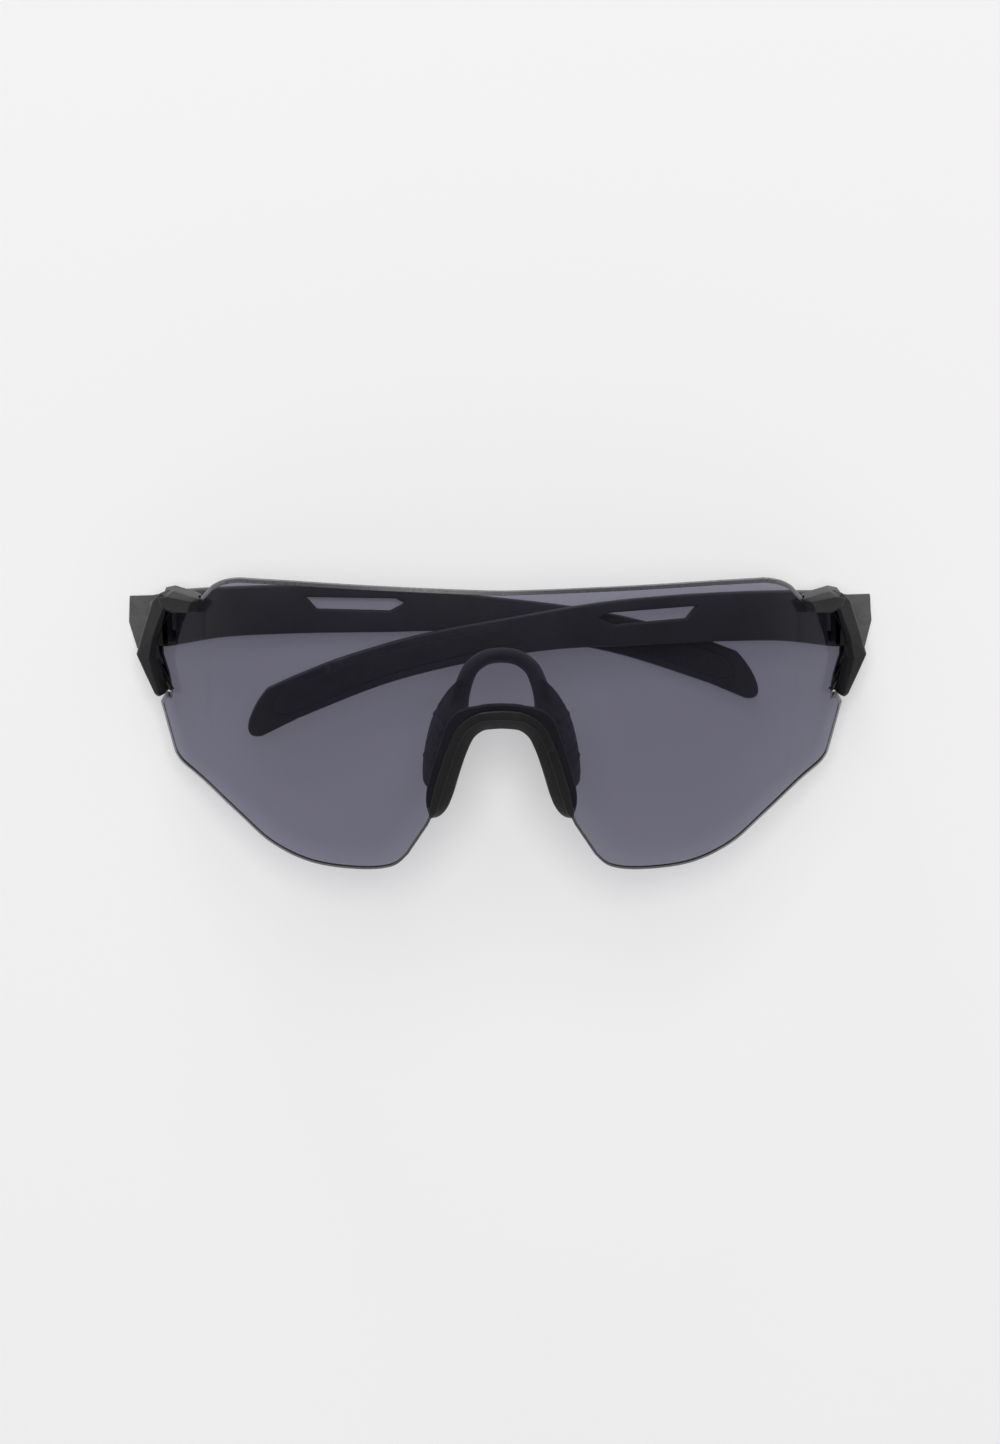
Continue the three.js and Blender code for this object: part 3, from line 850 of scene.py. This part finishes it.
def nose_sections(steps=150):
    """Sections from one leg's tip over the nose to the other's."""
    steps_along = [np.linalg.norm(b - a) for a, b in zip(NOSE_EDGE, NOSE_EDGE[1:])]
    lengths = np.concatenate([[0], np.cumsum(steps_along)])

    def edge(reach):
        return np.array([np.interp(reach, lengths, [p[k] for p in NOSE_EDGE]) for k in (0, 1)])

    for i in range(-steps, steps + 1):
        t = 1 - (1 - abs(i) / steps)**1.5
        side = -1 if i < 0 else 1
        reach = t * (lengths[-1] + LEG_TIP)
        on_edge = min(reach, lengths[-1])
        direction = edge(on_edge + 0.6) - edge(max(on_edge - 0.6, 0))
        if i == 0:
            direction = np.array((1.0, 0.0))
        direction = direction / np.linalg.norm(direction)
        out = np.array((-direction[1], direction[0]))
        place = edge(on_edge) + direction * (reach - on_edge)
        closing = smooth_tip(t)
        section = []
        for d, height in nose_section(t):
            x, y = place + out * lerp(0.55, d, closing)
            section.append(on_lens(side * x, y, lerp(-1.1, height, math.sqrt(closing))))
        yield section


def smooth_tip(t):
    """How open a leg's section is: 1 along the leg, closing roundly at its tip."""
    start = 0.74
    u = max((t - start) / (1 - start), 0)
    return max(math.sqrt(max(1 - u**2.6, 0)), 0.04)


def nose_bridge():
    rear_flange = range(14, 20)      # the points of nose_section behind the lens
    bm = loft(list(nose_sections()), placed_by(FRONT), rear_flange)
    obj = new_object("bridge", bm, [NYLON, NOSE_RUBBER])
    finish_piece(obj, "front", "nose_bridge", 28)


def tube(path, radii, place):
    """A round bar along a path, with a radius for each of its points."""
    sections = []
    for i, (point, radius) in enumerate(zip(path, radii)):
        before = path[max(i - 1, 0)]
        after = path[min(i + 1, len(path) - 1)]
        direction = (Vector(after) - Vector(before)).normalized()
        back = Vector((0, 0, -1))
        side_way = direction.cross(back).normalized()
        deep = side_way.cross(direction).normalized()
        section = []
        for k in range(TUBE_SIDES):
            angle = 2 * math.pi * k / TUBE_SIDES
            offset = side_way * math.cos(angle) * radius + deep * math.sin(angle) * radius
            section.append(Vector(point) + offset)
        sections.append(section)
    return loft(sections, place)


def nose_wing(mirror, place):
    """A soft wing beside the nose, splayed backwards, with slanted ribs on its outer side."""
    outline = [
        (-6, 0), (16.2, 0), *curve((16.2, 0), (18, 1.4), (16.6, 4)),
        *curve((16.6, 4), (11.5, 9.4), (5, 8.2)), *curve((5, 8.2), (-1.6, 4.4), (-6, 0)),
    ]
    down = Vector((0.237, -0.971, 0)).normalized()
    back = Vector((0.38, 0.09, -0.92)).normalized()
    out = down.cross(back).normalized()
    back = out.cross(down)
    origin = Vector((8.8, 1.6, -6.5))

    def in_wing(x, y, z):
        bulge = 1.1 * math.sin(math.pi * min(max(y / 8, 0), 1))
        point = origin + down * x + back * y + out * (z + bulge * 0.5)
        return place(mirror * point.x, point.y, point.z)

    half = PAD_THICKNESS / 2
    solids = [plate([tidy_loop(outline, 0.7)], rounded(-half, half, 0.7, steps=4), in_wing, 1.0)]
    for i in range(6):
        foot = 0.2 + 2.1 * i
        high = 4.6 if i == 0 else 6.2
        ridge = [(foot + 3, 0.8), (foot + 3.8, 0.8), (foot + 1.2, high), (foot + 0.4, high)]
        steps = [(0, half - 0.3), (0, half + 0.2), (0.2, half + 0.5)]
        solids.append(plate([tidy_loop(ridge, 1.0)], steps, in_wing, None))
    return solids


def nose_pad():
    in_front = placed_by(FRONT)
    knots = [
        (8.5, -1.4, -7.2), (8.3, 0.8, -7.6), (8.0, 3.0, -8.4), (7.2, 5.8, -9.4),
        (5.8, 8.6, -10.3), (3.1, 10.45, -10.9), (0, 10.95, -11),
    ]
    half = spline(knots, 8)
    path = [tuple(p) for p in half] + [(-p[0], p[1], p[2]) for p in reversed(half[:-1])]
    count = len(path)
    radii = [1.5 + 0.75 * (abs(2 * i / (count - 1) - 1)) ** 2.5 for i in range(count)]
    solids = [tube(path, radii, in_front)]
    for mirror in (1, -1):
        solids += nose_wing(mirror, in_front)
    obj = new_object("nose_rubber", gather(solids), [NOSE_RUBBER])
    melt(obj, NOSE_VOXEL, 6)
    paint(obj, NOSE_RUBBER)
    finish_piece(obj, "front", "nose_pad", 60)


# ---- the temples ---------------------------------------------------------------------------

def temple(side):
    word = SIDES[side]
    matrix = hinge_matrix(side, LEAN[side])

    def in_temple(x, y, z):
        point = matrix @ Vector((x, y, z))
        point.z = max(point.z, 0.02 * MM)
        return point

    def in_blade(x, y, share):
        return in_temple(x, y, temple_z(x, share))

    # The elbow's corner is cut by two facets, which meet along a slanting edge.
    corner = Vector((-4.0, 0, -ELBOW_INNER))
    outwards = Vector((-0.75, 0, -0.66))
    upwards = Vector((-0.66, 0, 0.75))

    def on_elbow(x, y, z):
        return in_temple(*(corner + outwards * x + upwards * z + Vector((0, y, 0))))

    def below_elbow(x, y, z):
        return on_elbow(x, y, z + 0.3 * (y - 1))

    blade = plate([temple_outline(), temple_slot()], rounded(0, 1, 0.45, 0.12, 4), in_blade, 2.2)
    obj = new_object("temple_arm_" + word, blade, [TEMPLE_NYLON_PAINTED_LIGHT])
    ear = KNUCKLE_HALF_HEIGHT - 0.05
    margin = -0.06
    carve(obj, [
        block((-ELBOW_LENGTH, -ELBOW_LENGTH, -ELBOW_INNER), (0, ELBOW_LENGTH, 2), in_temple),
    ])
    carve(obj, [
        rod(LUG_ROOM, ear, ELBOW_LENGTH, in_temple),
        rod(LUG_ROOM, -ELBOW_LENGTH, -ear, in_temple),
    ])
    carve(obj, [block((-3, -9, 0), (8, 9, 4), on_elbow)])
    carve(obj, [block((-3, -9, 0), (8, 9, 6), below_elbow)])
    carve(obj, [
        plate([grip_outline(margin)], [(0, -GRIP_RECESS - 0.05), (0, 1)],
              lambda x, y, z: in_temple(x, y, z + temple_bow(x) - TEMPLE_INNER), 3),
    ])
    carve(obj, [rod(KNUCKLE_RADIUS, -KNUCKLE_HALF_HEIGHT, KNUCKLE_HALF_HEIGHT, in_temple)], "UNION")
    carve(obj, [rod(PIN_RADIUS + GAP / 2, -ELBOW_LENGTH, ELBOW_LENGTH, in_temple)])
    paint(obj, TEMPLE_NYLON_PAINTED_LIGHT)
    finish_piece(obj, "temple_" + word, "temple_" + word, 30)


def ring_mark(x, y, place):
    """A small raised ring on the grip's face."""
    sections = []
    for k in range(RING_SIDES):
        angle = 2 * math.pi * k / RING_SIDES
        section = []
        for radius, z in ((0.66, 0.0), (0.72, 0.05), (0.78, 0.05), (0.84, 0.0), (0.75, -0.1)):
            section.append((x + radius * math.cos(angle), y + radius * math.sin(angle), z))
        sections.append(section)
    bm = bmesh.new()
    rings = [[bm.verts.new(place(*p)) for p in section] for section in sections]
    for i, b in enumerate(rings):
        a = rings[i - 1]
        for j in range(len(b)):
            bm.faces.new((a[j - 1], a[j], b[j], b[j - 1]))
    bmesh.ops.recalc_face_normals(bm, faces=bm.faces)
    return bm


def temple_grip(side):
    word = SIDES[side]
    matrix = hinge_matrix(side, LEAN[side])

    def in_grip(x, y, z):
        return matrix @ Vector((x, y, z + temple_bow(x) - TEMPLE_INNER))

    outline = grip_outline(0.0)
    solids = [plate([outline], rounded(-GRIP_RECESS, GRIP_PROUD, 0.2, steps=3), in_grip, 1.6)]
    clear = [inset(outline, 1.2)]
    row = 0
    y = -15.5
    while y < 1:
        x = 64 + (RING_PITCH / 2 if row % 2 else 0)
        while x < 116:
            if inside(clear, [(x, y)])[0]:
                solids.append(ring_mark(x, y, lambda a, b, c: in_grip(a, b, c + GRIP_PROUD)))
            x += RING_PITCH
        y += RING_ROW
        row += 1
    obj = new_object("grip_" + word, gather(solids), [GRIP_RUBBER])
    finish_piece(obj, "temple_" + word, "temple_grip_" + word, 40)


# ---- the hinge hardware --------------------------------------------------------------------

def hinge_screw(side):
    word = SIDES[side]
    in_hinge = placed_by(hinge_matrix(side))
    top = LUG_HALF_HEIGHT
    foot = -LUG_HALF_HEIGHT + 0.2
    thread = [(PIN_RADIUS - 0.1 * (i % 2), foot + 0.25 + 0.15 * i) for i in range(20)]
    profile = [
        (0, foot), (PIN_RADIUS - 0.2, foot), (PIN_RADIUS, foot + 0.2), *thread,
        (PIN_RADIUS, foot + 3.4), (PIN_RADIUS, top - HEAD_HEIGHT),
        (HEAD_RADIUS - 0.1, top - HEAD_HEIGHT), (HEAD_RADIUS, top - HEAD_HEIGHT + 0.12),
        (HEAD_RADIUS, top - 0.35), (HEAD_RADIUS - 0.12, top - 0.16), (HEAD_RADIUS - 0.45, top - 0.04),
        (0, top),
    ]
    obj = new_object("screw_" + word, turned(profile, in_hinge), [STEEL])
    carve(obj, [block((-2, top - 0.4, -0.2), (2, top + 1, 0.2), in_hinge)])
    paint(obj, STEEL)
    finish_piece(obj, "front", "hinge_screw_" + word)


def hinge_nut(side):
    word = SIDES[side]
    in_hinge = placed_by(hinge_matrix(side))

    def knurl(radius, angle):
        return 0.05 * math.cos(24 * angle) if radius > HEAD_RADIUS - 0.08 else 0

    foot = -LUG_HALF_HEIGHT
    bore = PIN_RADIUS + GAP / 2
    outside = HEAD_RADIUS - 0.05
    loop = [(bore, foot + 0.1), (bore + 0.12, foot), (outside - 0.15, foot), (outside, foot + 0.15),
            (outside, foot + NUT_HEIGHT - 0.15), (outside - 0.15, foot + NUT_HEIGHT),
            (bore + 0.12, foot + NUT_HEIGHT), (bore, foot + NUT_HEIGHT - 0.1), (bore, foot + 0.1)]
    bm = turned(loop, in_hinge, 96, knurl)
    bmesh.ops.remove_doubles(bm, verts=bm.verts, dist=1e-7)
    bmesh.ops.recalc_face_normals(bm, faces=bm.faces)
    finish_piece(new_object("nut_" + word, bm, [BRASS]), "front", "hinge_nut_" + word)


# ---- floor, light and camera ---------------------------------------------------------------

def floor_plane():
    n = Nodes("pale_floor")
    shader = n.add("ShaderNodeBsdfPrincipled")
    shader.inputs["Base Color"].default_value = (0.82, 0.82, 0.82, 1)
    shader.inputs["Roughness"].default_value = 0.9
    shader.inputs["Specular IOR Level"].default_value = 0.1
    shader.inputs["Emission Color"].default_value = (1, 1, 1, 1)
    shader.inputs["Emission Strength"].default_value = 0.2
    n.link(shader.outputs[0], n.output.inputs["Surface"])
    bm = bmesh.new()
    signs = ((-1, -1), (1, -1), (1, 1), (-1, 1))
    bm.faces.new([bm.verts.new((x * FLOOR_REACH, y * FLOOR_REACH, 0)) for x, y in signs])
    floor = new_object("floor", bm, [n.material])


def sky():
    """Bright at the horizon and darker overhead."""
    world = bpy.data.worlds.new("studio")
    bpy.context.scene.world = world
    world.use_nodes = True
    tree = world.node_tree
    place = tree.nodes.new("ShaderNodeTexCoord")
    split = tree.nodes.new("ShaderNodeSeparateXYZ")
    low = tree.nodes.new("ShaderNodeMapRange")
    strength = tree.nodes.new("ShaderNodeMapRange")
    for node, start, end in ((low, 1, 0), (strength, SKY_TOP, SKY_HORIZON)):
        node.inputs["To Min"].default_value = start
        node.inputs["To Max"].default_value = end
    fade = tree.nodes.new("ShaderNodeMath")
    fade.operation = "POWER"
    fade.inputs[1].default_value = SKY_FALL
    background = tree.nodes["Background"]
    background.inputs["Color"].default_value = (1, 1, 1, 1)
    tree.links.new(place.outputs["Generated"], split.inputs[0])
    tree.links.new(split.outputs["Z"], low.inputs["Value"])
    tree.links.new(low.outputs[0], fade.inputs[0])
    tree.links.new(fade.outputs[0], strength.inputs["Value"])
    tree.links.new(strength.outputs[0], background.inputs["Strength"])


def lamps():
    # The overhead light is hidden from glossy rays, so the shield doesn't mirror it.
    for name, place, size, energy, mirrored in (
        ("overhead", (0, 0.28, 1.98), 0.8, 19, False),
        ("key", (-0.1, 1.18, 1.62), 1.2, 5, True),
        ("low", (-0.4, 2.2, 0.5), 0.9, 9, True),
    ):
        light = bpy.data.lights.new(name, "AREA")
        light.shape = "DISK"
        light.size = size
        light.energy = energy
        lamp = bpy.data.objects.new(name, light)
        bpy.context.scene.collection.objects.link(lamp)
        lamp.visible_glossy = mirrored
        lamp.location = place
        lamp.rotation_euler = (-Vector(place)).to_track_quat("-Z", "Y").to_euler()


def camera():
    apex = ROW_ORIGIN + Vector((0, FRONT_Y, FRONT_Z)) * MM
    towards = Vector((0, math.sin(VIEW_TILT), math.cos(VIEW_TILT)))
    up = Vector((0, math.cos(VIEW_TILT), -math.sin(VIEW_TILT)))
    right = up.cross(towards)
    data = bpy.data.cameras.new("camera")
    data.sensor_fit = "VERTICAL"
    data.sensor_height = 36
    data.lens = FOCAL_LENGTH
    data.clip_start = 0.05
    obj = bpy.data.objects.new("camera", data)
    bpy.context.scene.collection.objects.link(obj)
    turn = Matrix((right, up, towards)).transposed().to_4x4()
    place = apex + towards * VIEW_DISTANCE - right * VIEW_LEFT
    obj.matrix_world = Matrix.Translation(place) @ turn
    bpy.context.scene.camera = obj


shield_lens()
nose_bridge()
nose_pad()
for side in SIDES:
    end_piece(side)
    temple(side)
    temple_grip(side)
    hinge_screw(side)
    hinge_nut(side)
floor_plane()
sky()
lamps()
camera()
bpy.context.scene.view_settings.view_transform = "Standard"
